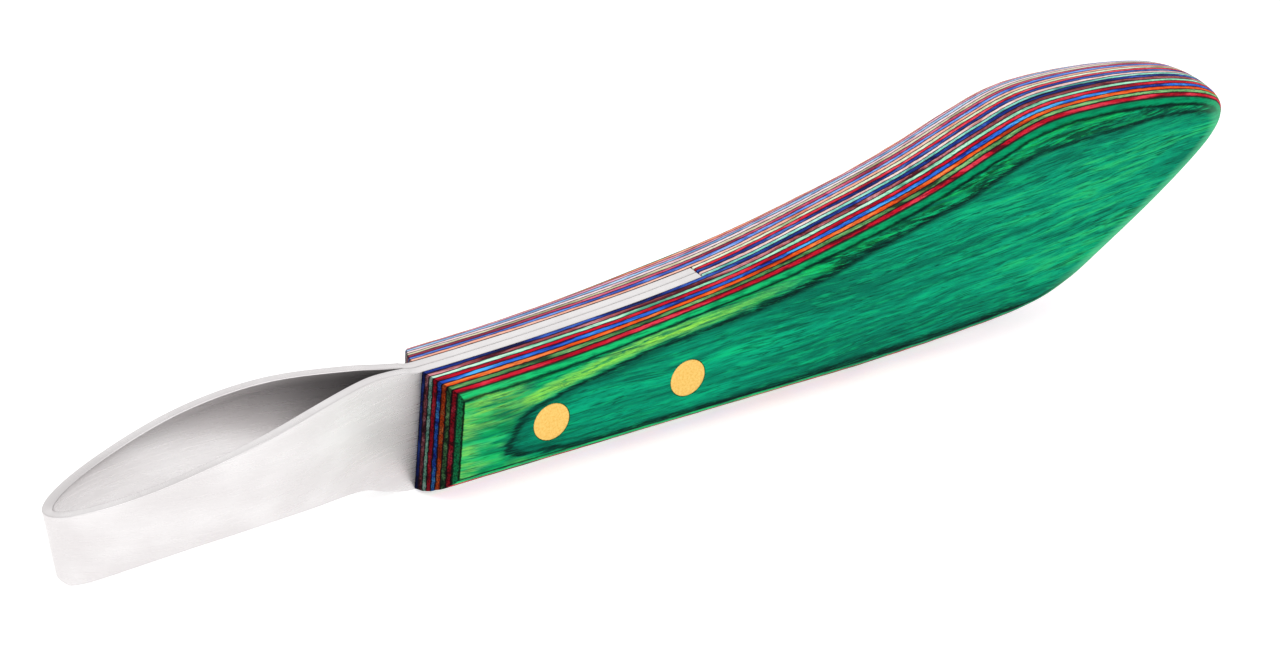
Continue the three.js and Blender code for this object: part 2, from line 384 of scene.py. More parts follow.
def heart(points):
    """0 to 1 across the pale outer zone of the flat-sawn ply, and over 1 in its dark heart."""
    x, z = points[:, 0], points[:, 1]
    top = np.interp(x, *spline(HEART_TOP).T)
    low = np.interp(x, *spline(HEART_LOW).T)
    (x1, z1), (x2, z2) = HEART_FRONT
    front = x1 + (x2 - x1) * (z - z1) / (z2 - z1)
    inward = np.array([top - z, z - low, x - front]) / np.array(HEART_REACH)[:, None]
    pushes = np.exp(-np.clip(inward, *HEART_LIMITS) / HEART_SOFTNESS)
    return HEART_SHORE - HEART_SOFTNESS * np.log(pushes.sum(axis=0))


def face_grid(ring, holes):
    """Points inside an outline, clear of its edge and holes, in a staggered grid."""
    low, high = ring.min(axis=0), ring.max(axis=0)
    out = []
    row = 0
    z = low[1] + GRID_MARGIN
    while z < high[1]:
        x = low[0] + GRID_MARGIN + (row % 2) * GRID_SPACING / 2
        while x < high[0]:
            out.append((x, z))
            x += GRID_SPACING
        z += GRID_SPACING * ROW_STEP
        row += 1
    points = np.array(out)
    keep = (nearest(points, ring) > GRID_MARGIN) & inside(ring, points)
    for hole in holes:
        from_pin = np.linalg.norm(points - hole.mean(axis=0), axis=1)
        keep &= from_pin > PIN_HOLE_RADIUS + GRID_MARGIN / 2
    return points[keep]


def nearest(points, ring):
    """How far each point is from an outline."""
    return np.min(np.linalg.norm(points[:, None] - ring[None, ::2], axis=2), axis=1)


def inside(ring, points):
    """Which points lie inside an outline."""
    x, z = points[:, 0], points[:, 1]
    result = np.zeros(len(points), bool)
    for (x1, z1), (x2, z2) in zip(ring, np.roll(ring, -1, axis=0)):
        if z1 == z2:
            continue
        spans = (z1 > z) != (z2 > z)
        result ^= spans & (x < (x2 - x1) * (z - z1) / (z2 - z1) + x1)
    return result


def with_y(line, y):
    """An outline's points in 3-D, at a y or at one y each."""
    return np.column_stack([line[:, 0], np.broadcast_to(y, len(line)), line[:, 1]])


def glue_line(edge, front):
    """Where a ply's edge lies along Y all round: wavy, but flat outside and at the tang's slot."""
    flat = edge in (0, LAST_PLY + 1, CORE[0], CORE[-1] + 1)
    wave = 0 if flat else glue_wave(edge, outline(PLY_EDGES[edge], front))
    return PLY_EDGES[edge] + wave


def edge_rings(index, front):
    """The rings of a ply that shows only its edges, from one glue line to the next."""
    beside_outer = index in (1, LAST_PLY - 1)
    shares = (0, 0.33, 0.67, 1) if beside_outer else (0, 0.5, 1)
    low_y, high_y = PLY_EDGES[index], PLY_EDGES[index + 1]
    low_line, high_line = glue_line(index, front), glue_line(index + 1, front)
    rings = []
    for share in shares:
        line = outline(low_y * (1 - share) + high_y * share, front)
        rings.append(with_y(line, low_line * (1 - share) + high_line * share))
    return rings, list(shares), [-1] * len(shares)


def face_rings(index):
    """The rings of an outer ply, from its glue line round its rounded edge and in over its face."""
    outward, inner_edge = (-1, 1) if index == 0 else (1, index)
    start = math.asin(abs(PLY_EDGES[inner_edge]) / HALF_THICKNESS)
    angles = np.linspace(start, math.pi / 2, FACE_EDGE_STEPS)
    rings, across, inset = [], [], []
    for k, angle in enumerate(angles):
        y = outward * HALF_THICKNESS * math.sin(angle)
        over = max(0, abs(y) - (HALF_THICKNESS - FACE_EDGE_ROUND))
        extra = FACE_EDGE_ROUND - math.sqrt(max(0, FACE_EDGE_ROUND**2 - over**2))
        line = outline(y, None, extra)
        wave = glue_wave(inner_edge, line) if k == 0 else 0
        rings.append(with_y(line, y + wave))
        share = k / (FACE_EDGE_STEPS - 1)
        across.append(share)
        inset.append(share - 1)
    for depth in FACE_INSETS:
        line = outline(y, None, FACE_EDGE_ROUND + depth)
        rings.append(with_y(line, y))
        across.append(1)
        inset.append(depth)
    return rings, across, inset


def veneer(index):
    """One ply, with wavy glue lines, pin holes and, on the two outer plies, a flat face."""
    is_core = index in CORE
    has_face = index in OUTER_PLIES
    front = SLOT_END_X if is_core else None
    rings, across, inset = face_rings(index) if has_face else edge_rings(index, front)
    holes = hole_loops(SLOT_END_X if is_core else -math.inf)
    return build_ply(PLY_NODES[index], rings, across, inset, holes, has_face)


def build_ply(name, rings, across, inset, holes, has_face):
    """Join the rings, fill both ends round the pin holes, and line the holes.

    across runs from 0 to 1 through the ply, and inset is how far a point lies in from where the
    flat face starts. Both are kept on the mesh for the materials, with the heart figure.
    """
    count = len(rings[0])
    vertices = list(rings)
    faces = []
    for k in range(len(rings) - 1):
        faces += list(ring_faces(k * count, (k + 1) * count, count))
    shares = [np.full(count, a) for a in across]
    insets = [np.full(count, d) for d in inset]
    hearts = [heart(r[:, [0, 2]]) if has_face else np.zeros(count) for r in rings]
    total = count * len(rings)
    ends = []
    for ring, share, depth in ((rings[0], across[0], inset[0]), (rings[-1], across[-1], inset[-1])):
        flat = ring[:, [0, 2]]
        y = float(ring[:, 1].mean())
        open_face = has_face and ring is rings[-1]
        inner = face_grid(flat, holes) if open_face else np.zeros((0, 2))
        ring_start = 0 if ring is rings[0] else (len(rings) - 1) * count
        local = filled(flat, holes, inner)
        index_of = np.concatenate([
            ring_start + np.arange(count),
            total + np.arange(sum(len(h) for h in holes) + len(inner)),
        ]).astype(int)
        faces += [tuple(index_of[list(t)]) for t in local]
        ends.append(total)
        for extra_points in holes + [inner]:
            size = len(extra_points)
            if not size:
                continue
            further = nearest(extra_points, flat) if open_face else np.zeros(size)
            vertices.append(with_y(extra_points, y))
            shares.append(np.full(size, share))
            insets.append(depth + further)
            hearts.append(heart(extra_points) if has_face else np.zeros(size))
            total += size
    for h in range(len(holes)):
        first = ends[0] + h * HOLE_SIDES
        second = ends[1] + h * HOLE_SIDES
        faces += list(ring_faces(first, second, HOLE_SIDES))
    return make_object(
        name.replace("veneer", "ply"),
        np.vstack(vertices),
        faces,
        attributes={
            "across": np.concatenate(shares),
            "inset": np.concatenate(insets),
            "heart": np.concatenate(hearts),
        },
    )


# ---- Steel loop and tang ------------------------------------------------------------------


def bezier(a, b, c, d, count):
    """Evenly stepped points on a cubic curve."""
    t = np.linspace(0, 1, count)[:, None]
    a, b, c, d = (np.array(p, float) for p in (a, b, c, d))
    return (1 - t) ** 3 * a + 3 * t * (1 - t) ** 2 * b + 3 * t**2 * (1 - t) * c + t**3 * d


def strip_line():
    """The outer side of the near half of the strip, in plan, from the fold to the tang's end."""
    half = LOOP_HALF_WIDTH
    neck_y = STRIP + TANG_GAP / 2
    tip, widest, neck = (TIP_X, 0), (LOOP_WIDEST_X, half), (NECK_X, neck_y)
    up_tip = (TIP_X, TIP_PULL * half)
    before_widest = (LOOP_WIDEST_X - WIDEST_FRONT_PULL, half)
    after_widest = (LOOP_WIDEST_X + WIDEST_BACK_PULL, half)
    front = bezier(tip, up_tip, before_widest, widest, FOLD_POINTS)
    back = bezier(widest, after_widest, (NECK_X - NECK_PULL, neck_y), neck, NECK_POINTS)
    tang_x = np.linspace(NECK_X, TANG_END_X, TANG_POINTS + 1)[1:]
    tang = np.column_stack([tang_x, np.full(TANG_POINTS, neck_y)])
    return np.vstack([front, back[1:], tang])


def interp_line(line, x):
    """The height of a line at an x."""
    order = np.argsort(line[:, 0])
    return np.interp(x, line[order, 0], line[order, 1])


LOOP_TOP_LINE = spline(LOOP_TOP)
LOOP_BOTTOM_LINE = spline(LOOP_BOTTOM)


def ramp(value, ends):
    """0 up to the first end, 1 from the second, and straight in between."""
    start, full = ends
    return np.clip((value - start) / (full - start), 0, 1)


def strip_top(x):
    handle = interp_line(TOP_LINE, x) - TANG_SINK
    loop = interp_line(LOOP_TOP_LINE, x)
    blend = ramp(x, TANG_BLEND)
    return loop * (1 - blend) + handle * blend


def strip_bottom(x):
    corner_x = LOOP_BOTTOM[0][0]
    width, height = TIP_CORNER
    share = np.clip((corner_x + TIP_CORNER_LEAD - x) / width, 0, 1)
    return interp_line(LOOP_BOTTOM_LINE, x) + height * (1 - np.sqrt(1 - share**2))


def lean_at(x):
    """How far the strip leans along X for each millimetre up: none at the neck, most at the tip."""
    return -TIP_LEAN * max(0, NECK_X - x) / (NECK_X - TIP_X)


LEAN_ROUNDS = 12


def stand(x, edge):
    """Where the strip's upper or lower edge is, above the plan point x."""
    z = float(edge(x))
    for _ in range(LEAN_ROUNDS):
        z = float(edge(x + lean_at(x) * (z - TIP_LEAN_LEVEL)))
    return z


def loop_blade():
    """The folded strip: a section swept down one half, round the fold and back up the other."""
    half = strip_line()
    along = np.gradient(half, axis=0)
    along /= np.linalg.norm(along, axis=1)[:, None]
    inward = np.column_stack([along[:, 1], -along[:, 0]])
    inward[0] = (1, 0)
    inner = half + STRIP * inward
    inner[0, 1] = 0
    inner[:, 1] = np.maximum(inner[:, 1], np.where(half[:, 0] > GAP_START_X, TANG_GAP / 2, 0))
    mirror = np.array([1, -1])
    outer_path = np.vstack([(half * mirror)[::-1], half[1:]])
    inner_path = np.vstack([(inner * mirror)[::-1], inner[1:]])
    vertices = []
    for outer_point, inner_point in zip(outer_path, inner_path):
        middle = (outer_point[0] + inner_point[0]) / 2
        high, low = stand(middle, strip_top), stand(middle, strip_bottom)
        edge = LOOP_EDGE if middle < TANG_BLEND[0] else TANG_EDGE
        profile = strip_section(low, high, edge)
        for share, z in profile:
            point = outer_point * (1 - share) + inner_point * share
            vertices.append((point[0] + lean_at(middle) * (z - TIP_LEAN_LEVEL), point[1], z))
    count = len(profile)
    stations = len(outer_path)
    faces = []
    for k in range(stations - 1):
        faces += list(ring_faces(k * count, (k + 1) * count, count))
    faces.append(tuple(range(count)))
    faces.append(tuple((stations - 1) * count + i for i in range(count)))
    blade = make_object("hoof_loop", vertices, faces)
    return drilled(blade)


def strip_section(low, high, edge):
    """The strip's section as (share of its thickness, height): up its outer side, over, down."""
    side = np.linspace(low + edge, high - edge, STRIP_ROWS)
    turn = np.linspace(0, math.pi / 2, EDGE_POINTS)[1:-1]
    share = edge / STRIP
    up = [(0, z) for z in side]
    over = [(share * (1 - math.cos(a)), high - edge + edge * math.sin(a)) for a in turn]
    over += [(share, high), (1 - share, high)]
    over += [(1 - share * (1 - math.sin(a)), high - edge + edge * math.cos(a)) for a in turn]
    down = [(1, z) for z in side[::-1]]
    under = [(1 - share * (1 - math.cos(a)), low + edge - edge * math.sin(a)) for a in turn]
    under += [(1 - share, low), (share, low)]
    under += [(share * (1 - math.sin(a)), low + edge - edge * math.cos(a)) for a in turn]
    return up + over + down + under


DRILL_REACH = 4


def drilled(blade):
    """The blade with the pin holes cut through both halves of its tang."""
    for centre in PIN_CENTRES:
        drill = round_bar("drill", centre, PIN_HOLE_RADIUS, DRILL_REACH, 0)
        cut = blade.modifiers.new("hole", "BOOLEAN")
        cut.operation = "DIFFERENCE"
        cut.solver = "EXACT"
        cut.object = drill
        bpy.context.view_layer.update()
        graph = bpy.context.evaluated_depsgraph_get()
        mesh = bpy.data.meshes.new_from_object(blade.evaluated_get(graph))
        blade.modifiers.clear()
        blade.data = mesh
        bpy.data.objects.remove(drill)
    blade.data.shade_smooth()
    blade.data.set_sharp_from_angle(angle=SHARP_ANGLE)
    mark_throat(blade.data)
    return blade


def mark_throat(mesh):
    """Keep on the mesh the painted shade of its inner faces: 1 in the throat, less out and down."""
    places = np.array([v.co for v in mesh.vertices]) / MM
    x, y, z = places.T
    plan_x = x - np.array([lean_at(v) for v in x]) * (z - TIP_LEAN_LEVEL)
    half = strip_line()
    outside = np.interp(plan_x, half[:, 0], half[:, 1]) - np.abs(y)
    ahead_of_tang = x < NECK_X + 1
    inner_side = ramp(outside / STRIP, THROAT_INWARD) * ahead_of_tang
    below = np.array([strip_top(v) for v in x]) - z
    depth = np.interp(x, *np.array(THROAT_DEPTH).T)
    strength = np.interp(x, *np.array(THROAT_STRENGTH).T)
    under_rim = ramp(below, THROAT_RIM)
    shade = np.clip(THROAT_FULL - below / depth, 0, 1) * strength * inner_side * under_rim
    layer = mesh.attributes.new("throat", "FLOAT", "POINT")
    layer.data.foreach_set("value", shade.astype(np.float32))


# ---- Pins ---------------------------------------------------------------------------------


def round_bar(name, centre, radius, half_length, chamfer):
    """A bar along Y. With a chamfer, its edges are a little broken and its ends crown slightly."""
    sides = HOLE_SIDES
    crown = PIN_CROWN if chamfer else 0
    profile = [(radius, half_length - chamfer)]
    if chamfer:
        inward, down = PIN_CHAMFER_BEND
        profile.append((radius - chamfer * inward, half_length - chamfer * down))
        profile.append((radius - chamfer, half_length))
    for share in PIN_END_RINGS:
        profile.append((radius * share, half_length + crown * (1 - share)))
    rings = [(r, -y) for r, y in profile[::-1]] + profile
    angles = np.linspace(0, 2 * math.pi, sides, endpoint=False)
    vertices = []
    for r, y in rings:
        for a in angles:
            vertices.append((centre[0] + r * math.cos(a), y, centre[1] + r * math.sin(a)))
    faces = []
    for k in range(len(rings) - 1):
        faces += list(ring_faces(k * sides, (k + 1) * sides, sides))
    first, last = len(vertices), len(vertices) + 1
    vertices.append((centre[0], -half_length - crown, centre[1]))
    vertices.append((centre[0], half_length + crown, centre[1]))
    base = (len(rings) - 1) * sides
    for i in range(sides):
        j = (i + 1) % sides
        faces.append((first, j, i))
        faces.append((last, base + i, base + j))
    return make_object(name, vertices, faces)


# ---- Materials ----------------------------------------------------------------------------


class Nodes:
    """A short way to write a node material."""

    def __init__(self, name):
        self.material = bpy.data.materials.new(name)
        self.material.use_nodes = True
        self.tree = self.material.node_tree
        self.shader = self.tree.nodes["Principled BSDF"]
        self.place = self.add("ShaderNodeTexCoord").outputs["Object"]

    def add(self, kind, **settings):
        node = self.tree.nodes.new(kind)
        for key, value in settings.items():
            setattr(node, key, value)
        return node

    def join(self, source, target):
        self.tree.links.new(source, target)

    def put(self, socket, value):
        if isinstance(value, bpy.types.NodeSocket):
            self.join(value, socket)
        elif isinstance(value, (tuple, list)) and len(value) == 3 and socket.type == "RGBA":
            socket.default_value = (*value, 1)
        else:
            socket.default_value = value

    def math(self, operation, a, b=0.0):
        node = self.add("ShaderNodeMath", operation=operation)
        self.put(node.inputs[0], a)
        self.put(node.inputs[1], b)
        return node.outputs[0]

    def times(self, first, *others):
        """The product of two or more values."""
        for other in others:
            first = self.math("MULTIPLY", first, other)
        return first

    def away(self, value, centre):
        """How far a value is from a centre, on either side."""
        return self.math("ABSOLUTE", self.math("SUBTRACT", value, centre))

    def swing(self, noise, amount):
        """A noise made to swing about zero."""
        return self.times(self.math("SUBTRACT", noise, 0.5), amount)

    def smooth(self, value, low, high, to_low=0.0, to_high=1.0):
        """A soft step from to_low, where the value is low, to to_high, where it is high."""
        node = self.add("ShaderNodeMapRange", interpolation_type="SMOOTHSTEP")
        for socket, v in zip(node.inputs[:5], (value, low, high, to_low, to_high)):
            self.put(socket, v)
        return node.outputs[0]

    def mix(self, factor, a, b, blend="MIX"):
        node = self.add("ShaderNodeMix", data_type="RGBA", blend_type=blend)
        self.put(node.inputs["Factor"], factor)
        self.put(node.inputs[6], a)
        self.put(node.inputs[7], b)
        return node.outputs[2]

    def noise(self, detail, roughness, stretch, shift=(0, 0, 0), warp=0.0):
        """A noise with about stretch waves to the metre along X, Y and Z."""
        mapping = self.add("ShaderNodeMapping")
        self.join(self.place, mapping.inputs["Vector"])
        mapping.inputs["Scale"].default_value = stretch
        mapping.inputs["Location"].default_value = shift
        node = self.add("ShaderNodeTexNoise", noise_dimensions="3D")
        self.join(mapping.outputs[0], node.inputs["Vector"])
        node.inputs["Scale"].default_value = 1
        node.inputs["Detail"].default_value = detail
        node.inputs["Roughness"].default_value = roughness
        node.inputs["Distortion"].default_value = warp
        return node.outputs["Fac"]

    def axes(self):
        node = self.add("ShaderNodeSeparateXYZ")
        self.join(self.place, node.inputs[0])
        return node.outputs

    def attribute(self, name):
        return self.add("ShaderNodeAttribute", attribute_name=name).outputs["Fac"]

    def bump(self, height, distance, strength):
        node = self.add("ShaderNodeBump")
        self.join(height, node.inputs["Height"])
        node.inputs["Distance"].default_value = distance
        node.inputs["Strength"].default_value = strength
        self.join(node.outputs[0], self.shader.inputs["Normal"])


def linear(red, green, blue):
    """A display colour, 0 to 255, as the linear colour that shaders take."""
    def channel(value):
        v = value / 255
        return v / 12.92 if v <= 0.04045 else ((v + 0.055) / 1.055) ** 2.4
    return tuple(channel(v) for v in (red, green, blue))


# For each veneer between the two outer ones, from near to far: its dye, and the lighter and
# darker dye it varies to. The far plies are paler: partly their own dye, partly painted sheen.
DYES_AND_SHEEN = [
    ((196, 18, 40), (232, 62, 80), (96, 12, 26)),
    ((88, 150, 88), (138, 200, 128), (34, 66, 42)),
    ((244, 92, 24), (255, 138, 70), (168, 52, 20)),
    ((44, 110, 226), (84, 186, 255), (24, 34, 136)),
    ((214, 16, 44), (240, 58, 76), (128, 10, 36)),
    ((160, 234, 194), (206, 250, 224), (86, 160, 130)),
    ((170, 84, 88), (226, 150, 156), (84, 26, 38)),
    ((28, 54, 142), (60, 98, 196), (16, 22, 72)),
    ((142, 226, 204), (190, 246, 230), (64, 140, 138)),
    ((242, 204, 198), (254, 228, 222), (196, 128, 126)),
    ((44, 68, 162), (86, 122, 204), (24, 32, 96)),
    ((234, 42, 66), (248, 92, 108), (152, 24, 46)),
    ((226, 240, 206), (244, 252, 230), (162, 184, 138)),
    ((250, 188, 166), (254, 212, 198), (218, 132, 106)),
    ((112, 154, 242), (156, 192, 252), (60, 88, 184)),
    ((208, 76, 110), (232, 120, 148), (142, 44, 72)),
    ((222, 214, 182), (240, 234, 214), (168, 158, 126)),
    ((250, 222, 228), (254, 238, 240), (222, 174, 184)),
    ((166, 202, 242), (198, 224, 250), (112, 150, 200)),
    ((232, 162, 190), (246, 196, 214), (190, 108, 142)),
    ((244, 152, 122), (252, 184, 156), (190, 96, 76)),
]
GLUE = linear(34, 14, 26)
DYE_SHIFT = 0.37                  # moves each ply's pattern on from its neighbour's


def wood(index):
    """Dyed veneer seen on its edges: long fibres, dark pores, and a dark glue line each side."""
    dye, light, dark = (linear(*c) for c in DYES_AND_SHEEN[index - 1])
    n = Nodes(PLY_NODES[index])
    seed = index * DYE_SHIFT
    fibre = n.noise(6, 0.66, (150, 3400, 3400), (seed, seed, seed))
    patch = n.noise(3, 0.55, (60, 500, 420), (seed + 3, seed, 0), 0.6)
    pores = n.noise(2, 0.5, (420, 9000, 9000), (seed, 0, seed + 1))
    colour = n.mix(n.smooth(patch, 0.50, 0.62), dye, light)
    colour = n.mix(n.smooth(patch, 0.47, 0.36), colour, dark)
    colour = n.mix(n.smooth(fibre, 0.48, 0.64, 0.0, 0.65), colour, dark)
    colour = n.mix(n.smooth(fibre, 0.44, 0.30, 0.0, 0.5), colour, light)
    colour = n.mix(n.smooth(pores, 0.58, 0.70, 0.0, 0.7), colour, dark)
    ragged = n.noise(3, 0.6, (900, 3000, 1500), (0, seed, 0))
    across = n.attribute("across")
    from_edge = n.math("MINIMUM", across, n.math("SUBTRACT", 1.0, across))
    from_edge = n.math("ADD", from_edge, n.swing(ragged, 0.30))
    colour = n.mix(n.smooth(from_edge, 0.08, 0.24, 0.95, 0.0), colour, GLUE)
    n.join(darker_front_end(n, colour), n.shader.inputs["Base Color"])
    finish(n, fibre, pores)
    return n.material


def darker_front_end(n, colour):
    """The front end face, where it faces -X, is darker, with paler specks."""
    normal = n.add("ShaderNodeSeparateXYZ")
    n.join(n.add("ShaderNodeNewGeometry").outputs["Normal"], normal.inputs[0])
    facing = n.smooth(n.times(normal.outputs["X"], -1.0), 0.06, 0.30)
    in_front = n.smooth(n.axes()[0], -0.0400, -0.0425)
    speck = n.noise(4, 0.7, (2500, 5000, 4000))
    dim = n.mix(n.smooth(speck, 0.35, 0.65), (0.07, 0.07, 0.10), (0.36, 0.34, 0.36))
    return n.mix(n.times(facing, in_front), colour, n.mix(1.0, colour, dim, "MULTIPLY"))


def finish(n, fibre, pores):
    """The oiled, lightly sanded surface that all of the veneers share."""
    n.join(n.smooth(fibre, 0.3, 0.7, 0.46, 0.60), n.shader.inputs["Roughness"])
    n.shader.inputs["Specular IOR Level"].default_value = 0.03
    height = n.math("SUBTRACT", fibre, n.times(pores, 0.6))
    n.bump(height, 0.00004, 0.5)


# The greens of the two outer plies.
GREENS = {name: linear(*colour) for name, colour in {
    "teal": (0, 162, 120),
    "deep": (0, 110, 84),
    "bright": (4, 186, 118),
    "green": (14, 178, 84),
    "lime": (146, 222, 74),
    "black": (0, 26, 24),
    "hump": (48, 180, 98),
    "growth line": (0, 66, 54),
    "near shore": (0, 104, 80),
    "shore": (0, 84, 66),
    "blotch": (0, 70, 56),
    "front shade": (4, 104, 66),
    "dash": (0, 74, 58),
    "hair": (0, 96, 72),
    "fibre": (0, 92, 70),
    "front edge": (24, 192, 110),
    "rear edge": (2, 146, 96),
    "edge fibre": (2, 104, 70),
    # a painted sheen, for the butt's slanted edge
    "butt_sheen": (104, 204, 150),
}.items()}
EDGE_LINE = -0.25                 # the inset of the dark line just before the flat face


class Figure:
    """The patterns that an outer ply's colours are made from, in metres along X and Z."""

    def __init__(self, n, side):
        self.n = n
        self.side = side
        self.x, _, self.z = n.axes()
        self.fibre = n.noise(6, 0.66, (260, 3000, 2600), (side, 0, 0))
        self.pores = n.noise(2, 0.5, (420, 6000, 5500), (side + 4, 0, 0))
        self.ragged = n.noise(5, 0.7, (300, 1500, 1500), (side, 0, 0))
        self.slow = n.noise(3, 0.6, (55, 200, 260), (side + 7, 0, 0))

        # Height on the face, bowed and tilted a little with the grain, and wandering slowly.
        drift = n.noise(2, 0.5, (22, 90, 60), (side + 2, 0, 0))
        tilt = n.math("ADD", n.times(self.x, self.x, -0.35), n.times(self.x, -0.035))
        level = n.math("ADD", self.z, tilt)
        self.level = n.math("ADD", level, n.swing(drift, 0.006))

        self.broad = self.streaks(self.level, 0.0036, 0.060, 0.3, 5.0)
        self.fine = self.streaks(self.level, 0.0007, 0.007, 5.7, 5.0)
        self.hair = self.streaks(self.level, 0.00028, 0.005, 2.2, 3.0)
        self.dashes = self.streaks(self.level, 0.00050, 0.011, 9.1, 2.0)
        self.teeth = self.streaks(self.level, 0.00042, 0.0035, 7.3, 3.0)
        self.lines = n.away(self.streaks(self.level, 0.0026, 0.050, 4.4, 4.0), 0.50)

        # How far into the ply's dark heart: 1 is its shore. Growth rings run along it, but
        # straight on ahead of it.
        stray = n.math("ADD", n.swing(self.teeth, 0.42), n.swing(self.slow, 0.30))
        self.heart_at = n.math("ADD", n.attribute("heart"), stray)
        self.ahead = n.smooth(self.x, -0.030, -0.037)
        round_heart = self.streaks(self.heart_at, 0.24, 0.030, 3.1, 5.0)
        straight_on = self.streaks(self.level, 0.0008, 0.012, 3.1, 5.0)
        self.rings = n.mix(self.ahead, round_heart, straight_on)

    def streaks(self, across, step, length, shift, detail):
        """A noise drawn out along X: streaks of a length, a step apart."""
        n = self.n
        place = n.add("ShaderNodeCombineXYZ")
        n.join(n.times(self.x, 1 / length), place.inputs[0])
        n.join(n.times(across, 1 / step), place.inputs[1])
        place.inputs[2].default_value = shift + self.side
        node = n.add("ShaderNodeTexNoise")
        n.join(place.outputs[0], node.inputs["Vector"])
        node.inputs["Scale"].default_value = 1
        node.inputs["Detail"].default_value = detail
        node.inputs["Roughness"].default_value = 0.65
        return node.outputs["Fac"]


def heart_wood(n, f):
    """The dark heart: broad teal streaks, thin growth lines and fine grain, fresher on the hump."""
    colour = n.mix(n.smooth(f.broad, 0.38, 0.60), GREENS["deep"], GREENS["teal"])
    colour = n.mix(n.smooth(f.broad, 0.54, 0.68, 0, 0.8), colour, GREENS["bright"])
    on_hump = n.times(n.smooth(f.x, 0.040, 0.075), n.smooth(f.broad, 0.48, 0.62))
    on_hump = n.times(on_hump, n.smooth(f.fine, 0.42, 0.62, 0.0, 0.85))
    colour = n.mix(on_hump, colour, GREENS["hump"])
    colour = n.mix(n.smooth(f.lines, 0.002, 0.018, 0.7, 0.0), colour, GREENS["growth line"])
    colour = n.mix(n.smooth(f.fine, 0.50, 0.66, 0, 0.5), colour, GREENS["bright"])
    colour = n.mix(n.smooth(f.fine, 0.50, 0.34, 0, 0.55), colour, GREENS["deep"])
    return n.mix(n.smooth(f.heart_at, 1.8, 1.05, 0.0, 0.45), colour, GREENS["near shore"])


def pale_zone(n, f):
    """The zone round the heart, with yellow-green streaks that fade away behind the rear pin."""
    at_front = n.smooth(f.x, -0.0395, -0.0425, 0.0, 0.7)
    high_up = n.smooth(f.level, 0.0120, 0.0150)
    lit_end = n.times(n.math("MAXIMUM", at_front, high_up), n.smooth(f.fine, 0.56, 0.42, 0.25, 1.0))
    patches = n.math("MAXIMUM", lit_end, n.smooth(f.slow, 0.46, 0.68, 0.0, 0.6))
    patches = n.times(f.ahead, patches, 0.75)
    in_middle = n.smooth(n.away(f.heart_at, 0.50), 0.05, 0.42, 1.0, 0.0)
    banded = n.times(n.math("SUBTRACT", 1.0, f.ahead), in_middle)
    glow = n.times(n.math("MAXIMUM", banded, patches), n.smooth(f.rings, 0.34, 0.58, 0.2, 1.0))
    glow = n.times(glow, n.math("MAXIMUM", f.ahead, n.smooth(f.z, 0.009, 0.012)))
    glow = n.times(glow, n.smooth(f.x, -0.008, 0.022, 1.0, 0.0))
    colour = n.mix(n.smooth(f.fine, 0.36, 0.60), GREENS["deep"], GREENS["green"])
    colour = n.mix(n.smooth(f.rings, 0.42, 0.62, 0, 0.7), colour, GREENS["bright"])
    colour = n.mix(glow, colour, GREENS["lime"])
    colour = n.mix(n.smooth(f.rings, 0.48, 0.32, 0, 0.8), colour, GREENS["deep"])
    shaded = n.times(f.ahead, n.smooth(f.slow, 0.52, 0.40, 0.0, 0.85))
    colour = n.mix(shaded, colour, GREENS["front shade"])

    # Ragged black patches behind the waist, and one on the hump.
    blots = n.times(n.smooth(f.slow, 0.46, 0.58), n.smooth(f.x, 0.000, 0.016))
    on_hump = n.times(n.smooth(f.x, 0.058, 0.066), n.smooth(f.x, 0.088, 0.078))
    knot = n.times(on_hump, n.smooth(f.heart_at, 0.22, 0.42))
    blots = n.times(n.math("MAXIMUM", blots, knot), n.smooth(f.teeth, 0.40, 0.54), 0.85)
    return n.mix(blots, colour, GREENS["black"])


def shore_lines(n, f, colour):
    """The dark growth line along the shore: blotched inside ahead of the waist, thick along it."""
    shore = n.away(f.heart_at, 1.0)
    colour = n.mix(n.smooth(shore, 0.02, 0.30, 0.8, 0.0), colour, GREENS["shore"])
    just_inside = n.times(n.smooth(f.heart_at, 0.95, 1.02), n.smooth(f.heart_at, 1.75, 1.05))
    blotches = n.times(n.smooth(f.fine, 0.40, 0.58), n.smooth(f.x, -0.002, -0.012))
    colour = n.mix(n.times(just_inside, blotches), colour, GREENS["blotch"])
    at_waist = n.times(n.smooth(f.x, -0.002, 0.012), n.smooth(f.x, 0.075, 0.055))
    thick = n.times(n.smooth(shore, 0.10, 0.38, 0.9, 0.0), n.smooth(f.teeth, 0.38, 0.50))
    colour = n.mix(n.times(at_waist, thick), colour, GREENS["black"])
    return n.mix(n.smooth(shore, 0.03, 0.15, 0.9, 0.0), colour, GREENS["black"])


def grain_lines(n, f, colour):
    """Short dark dashes, hair lines, fibres and open pores, all over the ply."""
    colour = n.mix(n.smooth(f.dashes, 0.57, 0.68, 0.0, 0.7), colour, GREENS["dash"])
    colour = n.mix(n.smooth(f.hair, 0.50, 0.66, 0.0, 0.5), colour, GREENS["hair"])
    colour = n.mix(n.smooth(f.fibre, 0.50, 0.68, 0.0, 0.5), colour, GREENS["fibre"])
    colour = n.mix(n.smooth(f.fibre, 0.46, 0.32, 0.0, 0.3), colour, GREENS["bright"])
    return n.mix(n.smooth(f.pores, 0.60, 0.72, 0.0, 0.55), colour, GREENS["black"])


